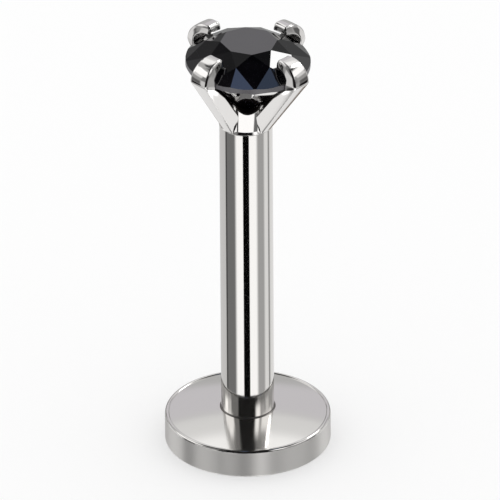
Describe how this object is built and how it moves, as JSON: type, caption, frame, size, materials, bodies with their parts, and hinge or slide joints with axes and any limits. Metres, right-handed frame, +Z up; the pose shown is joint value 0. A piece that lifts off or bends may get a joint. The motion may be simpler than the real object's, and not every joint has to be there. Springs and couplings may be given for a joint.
{
  "type": "labret stud",
  "caption": "Flat-back labret stud: a straight round bar on a domed disc, with a claw-set round dark stone on a top that pulls off the bar.",
  "frame": {"origin": "centre of the disc's flat underside, on the bar's axis", "axes": "+Z up along the bar towards the stone, -Y towards the viewer of the picture, +X to the viewer's right"},
  "size_m": [0.004, 0.004, 0.0109],
  "materials": {
    "post_steel": "mirror-polished bar and rim, satin turned disc",
    "setting_steel": "mirror polish",
    "dark_stone": "polished facets, near-black smoky stone"
  },
  "bodies": {
    "post": {"flat_back_post": "post_steel"},
    "top": {"prong_setting": "setting_steel", "gemstone": "dark_stone"}
  },
  "joints": [
    {"name": "top_pull", "type": "slide", "parent": "post", "child": "top", "axis": [0, 0, 1], "range_m": [0, 0.012]}
  ]
}
